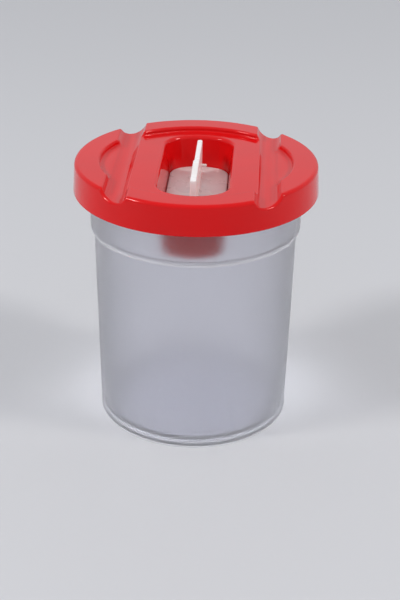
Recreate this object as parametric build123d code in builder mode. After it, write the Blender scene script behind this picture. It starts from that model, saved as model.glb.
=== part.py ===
from build123d import *
import os
from math import isclose, radians, sqrt, tan

# Non-spill paint cup: a see-through cup, a push-on lid with a tapered well for the brush, and
# the stopper that closes the well. Millimetres, +Z up. The origin is the middle of the base,
# the front is -Y, and the brush grooves run along Y.

# Cup
base_radius = 34.2
body_top_radius = 35.6
step_width = 1.2
collar_flare_width = 0.3
collar_height = 19.0
cup_height = 90.9
cup_wall = 1.2
floor_thickness = 1.3
foot_height = 1.4
foot_ring_width = 5.2
base_edge_radius = 0.7
recess_edge_radius = 0.7
floor_corner_radius = 2.2
step_edge_radius = 0.35
flange_width = 3.2
flange_thickness = 1.2
flange_lip_height = 2.6
flange_lip_thickness = 1.0
rim_edge_radius = 0.4

# Lid shell
lid_wall = 1.5
skirt_below_bead = 1.2
skirt_draft_width = 0.6
skirt_foot_radius = 0.4
ring_width = 8.7
recess_depth = 1.8
lid_edge_radius = 1.3
recess_corner_radius = 0.45
snap_bead_height = 1.4
snap_bead_drop = 0.4
seat_ring_inset = 0.5
seat_ring_thickness = 1.2
plug_ring_thickness = 1.2
plug_ring_reach = 4.4
plug_ring_draft_width = 0.25
plug_ring_foot_radius = 0.4

# Brush grooves in the lid
groove_inset = 8.4
groove_radius = 4.4
groove_depth = 3.3
groove_edge_radius = 0.8

# Well in the lid
well_end_gap = 4.8
well_width = 24.2
well_end_flatness = 3.9
well_corner_radius = 9.0
well_depth = 23.6
well_taper = 6.77
well_wall = 1.1
well_lip_radius = 1.2
well_foot_radius = 0.35

# Stopper
stopper_sink = 11.1
plate_thickness = 1.5
plug_height = 9.5
plug_wall = 1.2
plate_edge_radius = 0.4
plug_foot_radius = 0.35
fin_end_gap = 8.4
fin_thickness = 1.75
fin_pad_thickness = 0.35
fin_pad_ramp = 1.0
fin_drop = 0.2
fin_back_radius = 0.8
fin_front_radius = 0.3
fin_top_radius = 0.3
fin_root_radius = 0.5
peg_radius = 0.5
peg_length = 1.75
peg_inset = 2.5
peg_rise = 4.0
peg_tip_radius = 0.35

# Fits between the pieces
rim_gap = 0.2
skirt_clearance = 0.7
snap_clearance = 0.2
plug_ring_clearance = 0.25
stopper_clearance = 0.15

# Heights that follow from the values above
floor_height = foot_height + floor_thickness
step_height = cup_height - collar_height
inner_step_height = step_height + cup_wall
flange_under = cup_height - flange_thickness
flange_lip_foot = cup_height - flange_lip_height
groove_floor = cup_height + rim_gap + lid_wall
groove_axis_height = groove_floor + groove_radius
ring_top = groove_floor + groove_depth
ring_under = ring_top - lid_wall
panel_top = ring_top - recess_depth
panel_under = panel_top - lid_wall
bead_top = flange_lip_foot - snap_bead_drop
bead_foot = bead_top - snap_bead_height
skirt_foot = bead_foot - skirt_below_bead
skirt_height = ring_top - skirt_foot
plug_ring_foot = cup_height - plug_ring_reach
well_foot = panel_top - well_depth
plate_top = panel_top - stopper_sink
plate_under = plate_top - plate_thickness
plug_foot = plate_top - plug_height
fin_top = ring_top - fin_drop

# Radii and offsets that follow
collar_foot_radius = body_top_radius + step_width
mouth_outer_radius = collar_foot_radius + collar_flare_width
body_draft = (body_top_radius - base_radius) / step_height
inner_floor_radius = base_radius + body_draft * floor_height - cup_wall
inner_step_radius = body_top_radius - cup_wall
inner_collar_radius = collar_foot_radius - cup_wall
mouth_radius = mouth_outer_radius - cup_wall
foot_recess_radius = base_radius - foot_ring_width
flange_radius = mouth_outer_radius + flange_width
flange_lip_radius = flange_radius - flange_lip_thickness
lid_radius = flange_radius + skirt_clearance + lid_wall
lid_top_radius = lid_radius - skirt_draft_width
skirt_draft = skirt_draft_width / skirt_height
skirt_inner_radius = lid_radius - lid_wall
bead_radius = flange_radius + snap_clearance
ring_inner_radius = lid_top_radius - ring_width
seat_outer_radius = flange_radius - seat_ring_inset
seat_inner_radius = seat_outer_radius - seat_ring_thickness
plug_outer_radius = mouth_radius - plug_ring_clearance
plug_inner_radius = plug_outer_radius - plug_ring_thickness
groove_offset = ring_inner_radius - groove_inset
groove_centres = [(-groove_offset, groove_axis_height), (groove_offset, groove_axis_height)]
well_length = 2 * (ring_inner_radius - well_end_gap)
well_end_radius = well_width / 2 + well_end_flatness
taper_rate = tan(radians(well_taper))
fin_length = well_length - 2 * fin_end_gap
fin_right = (fin_thickness + fin_pad_thickness) / 2
fin_left = fin_right - fin_thickness
fin_pad_left = fin_left - fin_pad_thickness


def corner_at(sketch, radius, height):
    """The corner of a half section that lies at this radius and height."""
    return sketch.vertices().sort_by_distance((radius, height))[0]


def skirt_inside(height):
    """The skirt's inner radius at a height, drafted as its outside is."""
    return skirt_inner_radius - skirt_draft * (height - skirt_foot)


# The cup: raised floor on a foot ring, drafted body, step out to the collar, and a mouth
# turned out into a flange with a short lip, all one moulding
with BuildPart() as cup:
    with BuildSketch(Plane.XZ) as cup_half:
        with BuildLine():
            Polyline(
                (0, foot_height),
                (foot_recess_radius, foot_height),
                (foot_recess_radius, 0),
                (base_radius, 0),
                (body_top_radius, step_height),
                (collar_foot_radius, step_height),
                (mouth_outer_radius, flange_under),
                (flange_lip_radius, flange_under),
                (flange_lip_radius, flange_lip_foot),
                (flange_radius, flange_lip_foot),
                (flange_radius, cup_height),
                (mouth_radius, cup_height),
                (inner_collar_radius, inner_step_height),
                (inner_step_radius, inner_step_height),
                (inner_floor_radius, floor_height),
                (0, floor_height),
                close=True,
            )
        make_face()
        fillet(corner_at(cup_half, base_radius, 0), base_edge_radius)
        fillet(corner_at(cup_half, foot_recess_radius, foot_height), recess_edge_radius)
        fillet(corner_at(cup_half, inner_floor_radius, floor_height), floor_corner_radius)
        fillet(corner_at(cup_half, collar_foot_radius, step_height), step_edge_radius)
        fillet(corner_at(cup_half, flange_radius, cup_height), rim_edge_radius)
        fillet(corner_at(cup_half, mouth_radius, cup_height), rim_edge_radius)
    revolve(axis=Axis.Z)
cup.part.label = "cup"


def barrel_outline(inset):
    """The well's plan, two straight sides and two bowed ends, drawn in by the inset."""
    half_width = well_width / 2 - inset
    half_length = well_length / 2 - inset
    end_radius = well_end_radius - inset
    corner_y = half_length - end_radius + sqrt(end_radius**2 - half_width**2)
    with BuildSketch() as outline:
        with BuildLine():
            Line((half_width, -corner_y), (half_width, corner_y))
            ThreePointArc((half_width, corner_y), (0, half_length), (-half_width, corner_y))
            Line((-half_width, corner_y), (-half_width, -corner_y))
            ThreePointArc((-half_width, -corner_y), (0, -half_length), (half_width, -corner_y))
        make_face()
        fillet(outline.vertices(), well_corner_radius - inset)
    return outline.sketch


def well_inset(height):
    """How far the well's wall has drawn in at a height."""
    return (panel_top - height) * taper_rate


# The troughs that carry the brush grooves, kept within the lid's walls
with BuildPart() as troughs:
    with BuildSketch(Plane.XZ):
        with Locations(*groove_centres):
            Circle(groove_radius + lid_wall)
    extrude(amount=lid_radius, both=True)
    with BuildSketch(Plane.XZ):
        with BuildLine():
            Polyline(
                (0, skirt_foot),
                (lid_radius - lid_wall / 2, skirt_foot),
                (lid_top_radius - lid_wall / 2, ring_top - lid_wall / 2),
                (ring_inner_radius + lid_wall / 2, ring_top - lid_wall / 2),
                (ring_inner_radius + lid_wall / 2, panel_top - lid_wall / 2),
                (0, panel_top - lid_wall / 2),
                close=True,
            )
        make_face()
    revolve(axis=Axis.Z, mode=Mode.INTERSECT)

# The lid: skirt with a snap bead, flat ring round a sunk panel, a seat ring that stands on the
# cup's rim and a plug ring inside its mouth, then the two grooves and the tapered open well.
with BuildPart() as lid:
    with BuildSketch(Plane.XZ) as lid_half:
        with BuildLine():
            Polyline(
                (0, panel_top),
                (ring_inner_radius, panel_top),
                (ring_inner_radius, ring_top),
                (lid_top_radius, ring_top),
                (lid_radius, skirt_foot),
                (skirt_inner_radius, skirt_foot),
                (skirt_inside(bead_foot), bead_foot),
                (bead_radius, (bead_foot + bead_top) / 2),
                (skirt_inside(bead_top), bead_top),
                (skirt_inside(ring_under), ring_under),
                (seat_outer_radius, ring_under),
                (seat_outer_radius, cup_height),
                (seat_inner_radius, cup_height),
                (seat_inner_radius, ring_under),
                (plug_outer_radius, ring_under),
                (plug_outer_radius - plug_ring_draft_width, plug_ring_foot),
                (plug_inner_radius - plug_ring_draft_width, plug_ring_foot),
                (plug_inner_radius, panel_under),
                (0, panel_under),
                close=True,
            )
        make_face()
        fillet(corner_at(lid_half, lid_top_radius, ring_top), lid_edge_radius)
        fillet(corner_at(lid_half, lid_radius, skirt_foot), skirt_foot_radius)
        plug_ring_corner = corner_at(
            lid_half, plug_outer_radius - plug_ring_draft_width, plug_ring_foot
        )
        fillet(plug_ring_corner, plug_ring_foot_radius)
    revolve(axis=Axis.Z)
    add(troughs.part)
    with BuildSketch(Plane.XZ):
        with Locations(*groove_centres):
            Circle(groove_radius)
    extrude(amount=lid_radius, both=True, mode=Mode.SUBTRACT)

    with BuildSketch(Plane.XY.offset(panel_top - lid_wall / 2)):
        add(barrel_outline(well_inset(panel_top - lid_wall / 2) - well_wall))
    with BuildSketch(Plane.XY.offset(well_foot)):
        add(barrel_outline(well_inset(well_foot) - well_wall))
    loft(ruled=True)
    with BuildSketch(Plane.XY.offset(panel_top)):
        add(barrel_outline(0))
    with BuildSketch(Plane.XY.offset(well_foot)):
        add(barrel_outline(well_inset(well_foot)))
    loft(ruled=True, mode=Mode.SUBTRACT)

    ring_edges = lid.edges().filter_by(GeomType.CIRCLE)
    ring_edges = ring_edges.filter_by(lambda edge: isclose(edge.radius, ring_inner_radius))
    fillet(ring_edges.group_by(Axis.Z)[0], recess_corner_radius)
    ring_edges = lid.edges().filter_by(GeomType.CIRCLE)
    ring_edges = ring_edges.filter_by(lambda edge: isclose(edge.radius, ring_inner_radius))
    raised_edges = ring_edges.group_by(Axis.Z)[-1]
    for side in (-groove_offset, groove_offset):
        raised_edges += lid.faces().sort_by_distance((side, 0, groove_floor))[0].edges()
    fillet(raised_edges, groove_edge_radius)
    panel = lid.faces().sort_by_distance((well_width / 2 + well_lip_radius, 0, panel_top))[0]
    fillet(panel.inner_wires()[0].edges(), well_lip_radius)
    fillet(lid.faces().sort_by(Axis.Z)[0].edges(), well_foot_radius)
lid.part.label = "lid"

# The stopper: a plate over a hollow tapered plug, with an upright grip fin on top and the
# short peg that its mould leaves on the fin
with BuildPart() as stopper:
    with BuildSketch(Plane.XY.offset(plate_top)):
        add(barrel_outline(well_inset(plate_top) + stopper_clearance))
    with BuildSketch(Plane.XY.offset(plug_foot)):
        add(barrel_outline(well_inset(plug_foot) + stopper_clearance))
    loft(ruled=True)
    with BuildSketch(Plane.XY.offset(plate_under)):
        add(barrel_outline(well_inset(plate_under) + stopper_clearance + plug_wall))
    with BuildSketch(Plane.XY.offset(plug_foot)):
        add(barrel_outline(well_inset(plug_foot) + stopper_clearance + plug_wall))
    loft(ruled=True, mode=Mode.SUBTRACT)
    fillet(stopper.faces().sort_by(Axis.Z)[-1].edges(), plate_edge_radius)
    fillet(stopper.faces().sort_by(Axis.Z)[0].edges(), plug_foot_radius)

    with BuildSketch(Plane.XY.offset(plate_top)) as fin_plan:
        with BuildLine():
            Polyline(
                (fin_right, -fin_length / 2),
                (fin_right, fin_length / 2),
                (fin_left, fin_length / 2),
                (fin_left, 0),
                (fin_pad_left, -fin_pad_ramp),
                (fin_pad_left, -fin_length / 2),
                close=True,
            )
        make_face()
        fillet(fin_plan.vertices().group_by(Axis.Y)[-1], fin_back_radius)
        fillet(fin_plan.vertices().group_by(Axis.Y)[0], fin_front_radius)
    extrude(amount=fin_top - plate_top)
    fillet(stopper.faces().sort_by(Axis.Z)[-1].edges(), fin_top_radius)
    fin_foot = (fin_right, 0, plate_top)
    plate = stopper.faces().filter_by(Plane.XY).sort_by_distance(fin_foot)[0]
    fillet(plate.inner_wires()[0].edges(), fin_root_radius)

    with BuildSketch(Plane.YZ.offset(fin_right)):
        with Locations((fin_length / 2 - peg_inset, plate_top + peg_rise)):
            Circle(peg_radius)
    extrude(amount=peg_length)
    peg_tip = (fin_right + peg_length, fin_length / 2 - peg_inset, plate_top + peg_rise)
    fillet(stopper.faces().sort_by_distance(peg_tip)[0].edges(), peg_tip_radius)
stopper.part.label = "stopper"

os.makedirs("parts", exist_ok=True)
for piece in (cup, lid, stopper):
    export_step(piece.part, f"parts/{piece.part.label}.step")
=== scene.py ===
import math

import bpy
import numpy as np
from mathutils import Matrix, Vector


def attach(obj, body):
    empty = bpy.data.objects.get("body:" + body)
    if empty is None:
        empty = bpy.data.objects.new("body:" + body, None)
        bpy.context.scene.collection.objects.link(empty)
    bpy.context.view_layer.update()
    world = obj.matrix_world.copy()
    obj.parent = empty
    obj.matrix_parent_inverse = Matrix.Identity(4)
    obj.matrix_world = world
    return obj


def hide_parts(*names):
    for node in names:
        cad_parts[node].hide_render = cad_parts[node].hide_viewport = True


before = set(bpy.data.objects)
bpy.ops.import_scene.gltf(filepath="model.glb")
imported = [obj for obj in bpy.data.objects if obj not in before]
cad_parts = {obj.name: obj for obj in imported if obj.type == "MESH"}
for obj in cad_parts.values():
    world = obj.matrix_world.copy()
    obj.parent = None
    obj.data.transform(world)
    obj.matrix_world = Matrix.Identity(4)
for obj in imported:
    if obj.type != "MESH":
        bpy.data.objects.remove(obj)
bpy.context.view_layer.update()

# Camera. It stands in front of the cup, three degrees to its right and 27 degrees above it,
# as the photograph was taken.
camera_place = (0.02156, -0.41146, 0.25113)
camera_turn = (63.025, -0.829, 3.143)
camera_lens = 76.31
camera_sensor = 36
camera_reach = 20

camera_data = bpy.data.cameras.new("camera")
camera_data.lens = camera_lens
camera_data.sensor_width = camera_sensor
camera_data.clip_end = camera_reach
camera = bpy.data.objects.new("camera", camera_data)
camera.location = camera_place
camera.rotation_euler = [math.radians(turn) for turn in camera_turn]
bpy.context.collection.objects.link(camera)
bpy.context.scene.camera = camera
bpy.context.scene.view_settings.view_transform = "Standard"


# Table top. A wide pale sheet of painted board, smooth with a faint satin, that the cup
# stands on. Far from the cup it takes the colour of the room, so that no horizon shows.
table_half_width = 12.0
table_colour = (0.6, 0.6, 0.615, 1)
table_roughness = 0.5
room_colour = (0.93, 0.95, 1, 1)
room_light = 0.6
table_fade_start = 0.45
table_fade_end = 1.5


def set_inputs(tree, node, inputs):
    """Gives each named or numbered input of a node its value. Another node's output is linked."""
    for name, value in inputs.items():
        if isinstance(value, bpy.types.NodeSocket):
            tree.links.new(value, node.inputs[name])
        else:
            node.inputs[name].default_value = value


def add_node(tree, kind, inputs, **settings):
    """A new shader node of a kind, with its settings and its inputs."""
    node = tree.nodes.new("ShaderNode" + kind)
    for name, value in settings.items():
        setattr(node, name, value)
    set_inputs(tree, node, inputs)
    return node


def new_material(name, inputs):
    """A material of one Principled shader with the given inputs, its node tree and the shader."""
    material = bpy.data.materials.new(name)
    material.use_nodes = True
    shader = material.node_tree.nodes["Principled BSDF"]
    set_inputs(material.node_tree, shader, inputs)
    return material, material.node_tree, shader


def mix_surfaces(tree, share, first, second):
    """Makes the material's surface the first shader, with a share of the second mixed in."""
    mixed = add_node(tree, "MixShader", {0: share, 1: first, 2: second})
    set_inputs(tree, tree.nodes["Material Output"], {"Surface": mixed.outputs["Shader"]})


def table_finish():
    """Satin paint. Where the camera, a reflection or a see-through wall shows it, it fades into
    the room's colour between two distances from the cup."""
    material, tree, shader = new_material(
        "table_top", {"Base Color": table_colour, "Roughness": table_roughness})
    place = add_node(tree, "TexCoord", {}).outputs["Object"]
    distance = add_node(tree, "VectorMath", {0: place}, operation="LENGTH").outputs["Value"]
    far_share = add_node(tree, "MapRange", {
        "Value": distance,
        "From Min": table_fade_start,
        "From Max": table_fade_end,
    }, interpolation_type="SMOOTHSTEP").outputs["Result"]
    ray_kind = add_node(tree, "LightPath", {})
    seen = ray_kind.outputs["Is Camera Ray"]
    for other_kind in ("Is Glossy Ray", "Is Transmission Ray"):
        either = add_node(tree, "Math", {0: seen, 1: ray_kind.outputs[other_kind]}, operation="MAXIMUM")
        seen = either.outputs["Value"]
    fade = add_node(tree, "Math", {0: far_share, 1: seen}, operation="MULTIPLY").outputs["Value"]
    haze = add_node(tree, "Emission", {"Color": room_colour, "Strength": room_light})
    mix_surfaces(tree, fade, shader.outputs["BSDF"], haze.outputs["Emission"])
    return material


table_mesh = bpy.data.meshes.new("table")
table_mesh.from_pydata(
    [(x * table_half_width, y * table_half_width, 0) for x, y in ((-1, -1), (1, -1), (1, 1), (-1, 1))],
    [],
    [(0, 1, 2, 3)],
)
table_mesh.materials.append(table_finish())
table = bpy.data.objects.new("table", table_mesh)
bpy.context.collection.objects.link(table)


# Studio light. Two compact soft boxes, left and right in front of the cup, put the thin bright
# lines on the lid's edges, a wide panel behind it lays a pale sheen on the lid's flat top, and
# the room lights the rest evenly.
cup_middle = (0, 0, 0.05)
lamps = (
    # name, place, width, height, radiance, colour
    ("box_left", (-0.85, -0.4, 0.84), 0.24, 0.18, 46, (0.98, 0.99, 1)),
    ("box_right", (0.88, -0.24, 0.84), 0.2, 0.18, 44, (1, 0.99, 0.98)),
    ("panel_behind", (0, 1.5, 0.85), 1.8, 0.7, 0.12, (1, 1, 1)),
)


def soft_box(name, place, width, height, radiance, colour):
    """A flat lamp of a width and height in metres, turned to shine on the cup's middle. Its
    power is the radiance times pi times its area."""
    lamp_data = bpy.data.lights.new(name, "AREA")
    lamp_data.shape = "RECTANGLE"
    lamp_data.size = width
    lamp_data.size_y = height
    lamp_data.energy = radiance * math.pi * width * height
    lamp_data.color = colour
    lamp = bpy.data.objects.new(name, lamp_data)
    lamp.location = place
    lamp.rotation_euler = (Vector(cup_middle) - Vector(place)).to_track_quat("-Z", "Y").to_euler()
    bpy.context.collection.objects.link(lamp)


for lamp_values in lamps:
    soft_box(*lamp_values)

surroundings = bpy.data.worlds.new("surroundings")
bpy.context.scene.world = surroundings
surroundings.use_nodes = True
sky = surroundings.node_tree.nodes["Background"]
sky.inputs["Color"].default_value = room_colour
sky.inputs["Strength"].default_value = room_light


# Cup. One injection moulding of milky polypropylene: a raised floor on a foot ring, a drafted
# body, a step out to the collar, and a mouth turned out into a flange with a short lip. The
# mould leaves fine upright polishing lines and a faint cloudiness in its wall.
cup_height = 0.0909
base_radius = 0.0342
body_top_radius = 0.0356
step_height = 0.0719
collar_foot_radius = 0.0368
mouth_outer_radius = 0.0371
cup_wall = 0.0012
floor_thickness = 0.0013
foot_height = 0.0014
foot_ring_width = 0.0052
flange_radius = 0.0403
flange_thickness = 0.0012
flange_lip_height = 0.0026
flange_lip_thickness = 0.001
floor_rounding = 0.0022
foot_rounding = 0.0007
corner_rounding = 0.0004
step_rounding = 0.00035
inner_rounding = 0.0003
lip_rounding = 0.0002
longest_step = 0.004
arc_step = math.radians(11)
cup_steps_round = 320

polypropylene_ior = 1.49
even_spread = (1, 1, 1)
milk_colour = (0.9, 0.902, 0.945, 1)
milk_depth = 0.006
wall_clearness = 0.97
thick_clearness = 0
foot_edge = 0.0007
step_edge = 0.00045
edge_fade = 0.00015
lamp_tint = (0.785, 0.79, 0.805, 1)
cloud_scale = 90
cloud_detail = 3
cloud_low = 0.3
cloud_high = 0.7
satin_smooth = 0.29
satin_dull = 0.34
line_scale = 900
line_detail = 2
line_stretch = (1, 1, 0.03)
line_strength = 0.12
line_depth = 0.0002


def eased_stretch(start, end):
    """Points on the straight line from start to end, at the shares (1 - cos(pi * u)) / 2 of it,
    so that the steps shorten towards both ends."""
    steps = max(2, math.ceil(np.linalg.norm(end - start) / longest_step))
    shares = (1 - np.cos(np.linspace(0, math.pi, steps + 1))) / 2
    return start + shares[:, None] * (end - start)


def rounded_outline(corners):
    """The path through corners given as (radius, height, rounding). Each inner corner is an arc
    that touches its two sides: it starts rounding * tan(turn / 2) before the corner, and its
    points are its centre less the turned normal times the rounding."""
    places = np.array([corner[:2] for corner in corners], float)
    sides = np.diff(places, axis=0)
    headings = np.arctan2(sides[:, 1], sides[:, 0])
    turns = (np.diff(headings) + math.pi) % (2 * math.pi) - math.pi
    stretches = []
    start = places[0]
    for place, heading, turn, (_, _, rounding) in zip(places[1:], headings, turns, corners[1:]):
        side = math.copysign(1, turn)
        along = np.array([math.cos(heading), math.sin(heading)])
        arc_start = place - along * rounding * math.tan(abs(turn) / 2)
        centre = arc_start + side * rounding * np.array([-along[1], along[0]])
        steps = max(2, math.ceil(abs(turn) / arc_step))
        angles = heading + np.linspace(0, turn, steps + 1)
        arc = centre - side * rounding * np.stack([-np.sin(angles), np.cos(angles)], axis=1)
        stretches += [eased_stretch(start, arc_start)[:-1], arc[:-1]]
        start = arc[-1]
    stretches.append(eased_stretch(start, places[-1]))
    return np.concatenate(stretches)


def ring_faces(rows, columns):
    """The quads of a grid of points whose rows close on themselves. Point row * columns + column
    is joined to the next one in its row and to the same two in the next row."""
    row, column = np.meshgrid(np.arange(rows - 1), np.arange(columns), indexing="ij")
    next_column = (column + 1) % columns
    corners = (
        row * columns + column,
        row * columns + next_column,
        (row + 1) * columns + next_column,
        (row + 1) * columns + column,
    )
    return np.stack(corners, axis=-1).reshape(-1, 4)


def turned_shape(outline):
    """The points and faces of an outline from axis to axis, turned round Z: the point at an
    angle is (radius * cos, radius * sin, height), and each end on the axis is one point."""
    angles = np.linspace(0, 2 * math.pi, cup_steps_round, endpoint=False)
    radius, height = outline[1:-1, 0, None], outline[1:-1, 1, None]
    rings = np.stack([radius * np.cos(angles), radius * np.sin(angles), height + 0 * angles], axis=-1)
    first_pole = rings.shape[0] * cup_steps_round
    last_pole = first_pole + 1
    poles = np.array([[0, 0, outline[0, 1]], [0, 0, outline[-1, 1]]])
    this_step = np.arange(cup_steps_round)
    next_step = (this_step + 1) % cup_steps_round
    last_ring = first_pole - cup_steps_round
    fans = np.concatenate([
        np.stack([next_step, this_step, np.full_like(this_step, first_pole)], axis=1),
        np.stack([last_ring + this_step, last_ring + next_step, np.full_like(this_step, last_pole)], axis=1),
    ])
    points = np.concatenate([rings.reshape(-1, 3), poles])
    return points, [ring_faces(rings.shape[0], cup_steps_round), fans]


def new_piece(name, points, face_groups, material):
    """A smooth mesh object from an array of points and arrays of faces, one array for each
    number of sides."""
    mesh = bpy.data.meshes.new(name)
    corners = np.concatenate([faces.ravel() for faces in face_groups]).astype(np.int32)
    sides = np.concatenate([np.full(len(faces), faces.shape[1]) for faces in face_groups])
    mesh.vertices.add(len(points))
    mesh.vertices.foreach_set("co", points.astype(np.float32).ravel())
    mesh.loops.add(len(corners))
    mesh.loops.foreach_set("vertex_index", corners)
    mesh.polygons.add(len(sides))
    mesh.polygons.foreach_set("loop_start", (np.cumsum(sides) - sides).astype(np.int32))
    mesh.update(calc_edges=True)
    mesh.shade_smooth()
    mesh.materials.append(material)
    piece = bpy.data.objects.new(name, mesh)
    bpy.context.collection.objects.link(piece)
    return piece


def wall_bands(tree, place):
    """How far the wall is see-through, by height: not at all where it is thick, at the foot and
    at the step, and almost fully elsewhere."""
    height = add_node(tree, "SeparateXYZ", {"Vector": place}).outputs["Z"]
    share = add_node(tree, "Math", {0: height, 1: cup_height}, operation="DIVIDE").outputs["Value"]
    ramp = add_node(tree, "ValToRGB", {"Fac": share})
    stops = ramp.color_ramp.elements
    bands = (
        (0, thick_clearness),
        (foot_edge, thick_clearness),
        (foot_edge + edge_fade, wall_clearness),
        (step_height - edge_fade, wall_clearness),
        (step_height, thick_clearness),
        (step_height + step_edge, thick_clearness),
        (step_height + step_edge + edge_fade, wall_clearness),
    )
    for stop, (band_height, clearness) in enumerate(bands):
        if stop >= len(stops):
            stops.new(band_height / cup_height)
        stops[stop].position = band_height / cup_height
        stops[stop].color = (clearness, clearness, clearness, 1)
    return ramp.outputs["Color"]


def cup_finish():
    """Milky see-through plastic, satin, with cloudy patches and upright polishing lines. Lamps
    reach what is inside through a plain see-through shader, since the wall holds back little."""
    material, tree, shader = new_material("frosted_polypropylene", {
        "Base Color": milk_colour,
        "IOR": polypropylene_ior,
        "Subsurface Weight": 1,
        "Subsurface Radius": even_spread,
        "Subsurface Scale": milk_depth,
    })
    place = add_node(tree, "TexCoord", {}).outputs["Object"]
    clouds = add_node(tree, "TexNoise", {"Vector": place, "Scale": cloud_scale, "Detail": cloud_detail})
    satin = add_node(tree, "MapRange", {
        "Value": clouds.outputs["Fac"],
        "From Min": cloud_low,
        "From Max": cloud_high,
        "To Min": satin_smooth,
        "To Max": satin_dull,
    })
    upright = add_node(tree, "Mapping", {"Vector": place, "Scale": line_stretch}).outputs["Vector"]
    lines = add_node(tree, "TexNoise", {"Vector": upright, "Scale": line_scale, "Detail": line_detail})
    relief = add_node(tree, "Bump", {
        "Height": lines.outputs["Fac"],
        "Strength": line_strength,
        "Distance": line_depth,
    })
    set_inputs(tree, shader, {
        "Roughness": satin.outputs["Result"],
        "Transmission Weight": wall_bands(tree, place),
        "Normal": relief.outputs["Normal"],
    })
    lamp_path = add_node(tree, "BsdfTransparent", {"Color": lamp_tint})
    lamp_ray = add_node(tree, "LightPath", {}).outputs["Is Shadow Ray"]
    mix_surfaces(tree, lamp_ray, shader.outputs["BSDF"], lamp_path.outputs["BSDF"])
    return material


body_draft = (body_top_radius - base_radius) / step_height
floor_height = foot_height + floor_thickness
inner_floor_radius = base_radius + body_draft * floor_height - cup_wall
inner_step_height = step_height + cup_wall
cup_outline = rounded_outline([
    (0, foot_height, 0),
    (base_radius - foot_ring_width, foot_height, foot_rounding),
    (base_radius - foot_ring_width, 0, inner_rounding),
    (base_radius, 0, foot_rounding),
    (body_top_radius, step_height, corner_rounding),
    (collar_foot_radius, step_height, step_rounding),
    (mouth_outer_radius, cup_height - flange_thickness, corner_rounding),
    (flange_radius - flange_lip_thickness, cup_height - flange_thickness, inner_rounding),
    (flange_radius - flange_lip_thickness, cup_height - flange_lip_height, lip_rounding),
    (flange_radius, cup_height - flange_lip_height, lip_rounding),
    (flange_radius, cup_height, corner_rounding),
    (mouth_outer_radius - cup_wall, cup_height, corner_rounding),
    (collar_foot_radius - cup_wall, inner_step_height, inner_rounding),
    (body_top_radius - cup_wall, inner_step_height, inner_rounding),
    (inner_floor_radius, floor_height, floor_rounding),
    (0, floor_height, 0),
])
cup = new_piece("cup_moulding", *turned_shape(cup_outline), cup_finish())
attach(cup, "cup")
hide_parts("cup")


# Lid. One glossy moulding of red polypropylene: a skirt with a snap bead, a raised ring round a
# sunk panel that rolls softly into two brush grooves, and a deep tapered well. Handling has left
# hair scratches and a few duller patches on its polish.
lid_red = (0.68, 0.003, 0.004, 1)
worn_red = (0.62, 0.008, 0.009, 1)
red_worn_start = 0.35
red_worn_end = 0.8
lid_glint = 0.48
lid_glint_tint = (1, 0.5, 0.5, 1)
lid_polish = 0.08
lid_dull = 0.17
lid_scratch_scale = 420
lid_scratch_depth = 0.00002
patch_scale = 55
patch_detail = 4
patch_start = 0.35
patch_end = 0.75
scratch_turns = (0.5, -0.9)
scratch_slant = (0.2, 0.1)
scratch_stretch = (1, 0.04, 0.3)
scratch_detail = 1
scratch_start = 0.68
scratch_end = 0.72
scratch_strength = 0.5
blend_radius = 0.004
blend_start = 0.0252
blend_full = 0.0268
blend_fade = 0.0315
blend_end = 0.0338
blend_samples = 12


def softened_crease(tree, place):
    """Normals averaged over a radius, so that each crescent of the panel rolls softly into its
    groove. The radius rises from 0 to blend_radius where |x| passes from blend_start to
    blend_full, and falls to 0 where the distance from the axis passes from blend_fade to
    blend_end."""
    across = add_node(tree, "SeparateXYZ", {"Vector": place}).outputs["X"]
    aside = add_node(tree, "Math", {0: across}, operation="ABSOLUTE").outputs["Value"]
    flat = add_node(tree, "VectorMath", {0: place, 1: (1, 1, 0)}, operation="MULTIPLY")
    distance = add_node(tree, "VectorMath", {0: flat.outputs["Vector"]}, operation="LENGTH")
    radius = add_node(tree, "Math", {}, operation="MULTIPLY")
    for slot, (measure, start, end, before, after) in enumerate((
        (aside, blend_start, blend_full, 0, blend_radius),
        (distance.outputs["Value"], blend_fade, blend_end, 1, 0),
    )):
        share = add_node(tree, "MapRange", {
            "Value": measure,
            "From Min": start,
            "From Max": end,
            "To Min": before,
            "To Max": after,
        }, interpolation_type="SMOOTHSTEP")
        set_inputs(tree, radius, {slot: share.outputs["Result"]})
    soft = add_node(tree, "Bevel", {"Radius": radius.outputs["Value"]}, samples=blend_samples)
    return soft.outputs["Normal"]


def scratched_polish(tree, shader, place, polished, dull, scratch_scale, scratch_depth):
    """Roughness that wanders between polished and dull with soft cloudy patches, and hair
    scratches: thin grooves where one of two turned and stretched noises rises past
    scratch_start. Returns the patches and the relief."""
    patches = add_node(tree, "TexNoise", {"Vector": place, "Scale": patch_scale, "Detail": patch_detail})
    polish = add_node(tree, "MapRange", {
        "Value": patches.outputs["Fac"],
        "From Min": patch_start,
        "From Max": patch_end,
        "To Min": polished,
        "To Max": dull,
    })
    scratches = add_node(tree, "Math", {}, operation="ADD")
    for slot, turn in enumerate(scratch_turns):
        slant = add_node(tree, "Mapping", {
            "Vector": place,
            "Rotation": (*scratch_slant, turn),
            "Scale": scratch_stretch,
        })
        hairs = add_node(tree, "TexNoise", {
            "Vector": slant.outputs["Vector"],
            "Scale": scratch_scale,
            "Detail": scratch_detail,
        })
        groove = add_node(tree, "MapRange", {
            "Value": hairs.outputs["Fac"],
            "From Min": scratch_start,
            "From Max": scratch_end,
        })
        set_inputs(tree, scratches, {slot: groove.outputs["Result"]})
    relief = add_node(tree, "Bump", {
        "Height": scratches.outputs["Value"],
        "Strength": scratch_strength,
        "Distance": scratch_depth,
    }, invert=True)
    set_inputs(tree, shader, {
        "Roughness": polish.outputs["Result"],
        "Normal": relief.outputs["Normal"],
    })
    return patches.outputs["Fac"], relief


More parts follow.
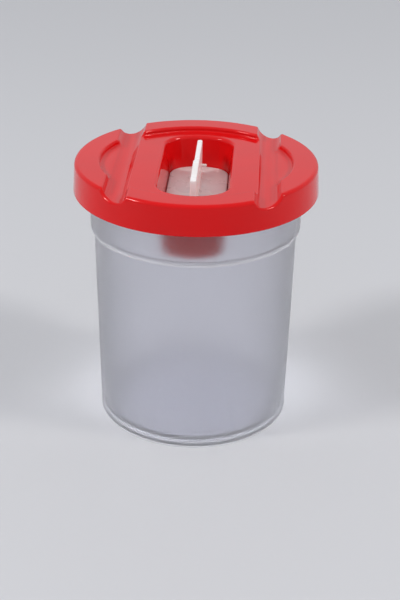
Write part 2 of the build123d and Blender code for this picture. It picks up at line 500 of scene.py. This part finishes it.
def worn_colour(tree, patches, fresh, worn, start, end):
    """The fresh colour, passing to the worn one where the patches pass from start to end."""
    shades = add_node(tree, "ValToRGB", {"Fac": patches})
    for stop, (position, colour) in enumerate(((start, fresh), (end, worn))):
        shades.color_ramp.elements[stop].position = position
        shades.color_ramp.elements[stop].color = colour
    return shades.outputs["Color"]


def lid_finish():
    """Glossy red plastic whose red shifts a little where the polish is duller."""
    material, tree, shader = new_material("red_polypropylene", {
        "IOR": polypropylene_ior,
        "Specular IOR Level": lid_glint,
        "Specular Tint": lid_glint_tint,
    })
    place = add_node(tree, "TexCoord", {}).outputs["Object"]
    patches, relief = scratched_polish(
        tree, shader, place, lid_polish, lid_dull, lid_scratch_scale, lid_scratch_depth)
    set_inputs(tree, relief, {"Normal": softened_crease(tree, place)})
    red = worn_colour(tree, patches, lid_red, worn_red, red_worn_start, red_worn_end)
    set_inputs(tree, shader, {"Base Color": red})
    return material


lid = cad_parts["lid"]
lid.data.materials.clear()
lid.data.materials.append(lid_finish())


# Stopper. One moulding of white polypropylene: a plate over a hollow tapered plug, an upright
# fin to pull it by, and the short peg that the mould leaves on the fin.
stopper_white = (0.9, 0.89, 0.87, 1)
handled_white = (0.8, 0.775, 0.74, 1)
white_worn_start = 0.4
white_worn_end = 0.75
stopper_glint = 0.45
stopper_milkiness = 0.5
stopper_milk_depth = 0.003
stopper_polish = 0.24
stopper_dull = 0.34
stopper_scratch_scale = 520
stopper_scratch_depth = 0.00001


def stopper_finish():
    """Glossy white plastic that light sinks into a little, slightly greyer where fingers have
    handled it."""
    material, tree, shader = new_material("white_polypropylene", {
        "IOR": polypropylene_ior,
        "Specular IOR Level": stopper_glint,
        "Subsurface Weight": stopper_milkiness,
        "Subsurface Radius": even_spread,
        "Subsurface Scale": stopper_milk_depth,
    })
    place = add_node(tree, "TexCoord", {}).outputs["Object"]
    patches, _ = scratched_polish(
        tree, shader, place, stopper_polish, stopper_dull, stopper_scratch_scale, stopper_scratch_depth)
    white = worn_colour(
        tree, patches, stopper_white, handled_white, white_worn_start, white_worn_end)
    set_inputs(tree, shader, {"Base Color": white})
    return material


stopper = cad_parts["stopper"]
stopper.data.materials.clear()
stopper.data.materials.append(stopper_finish())
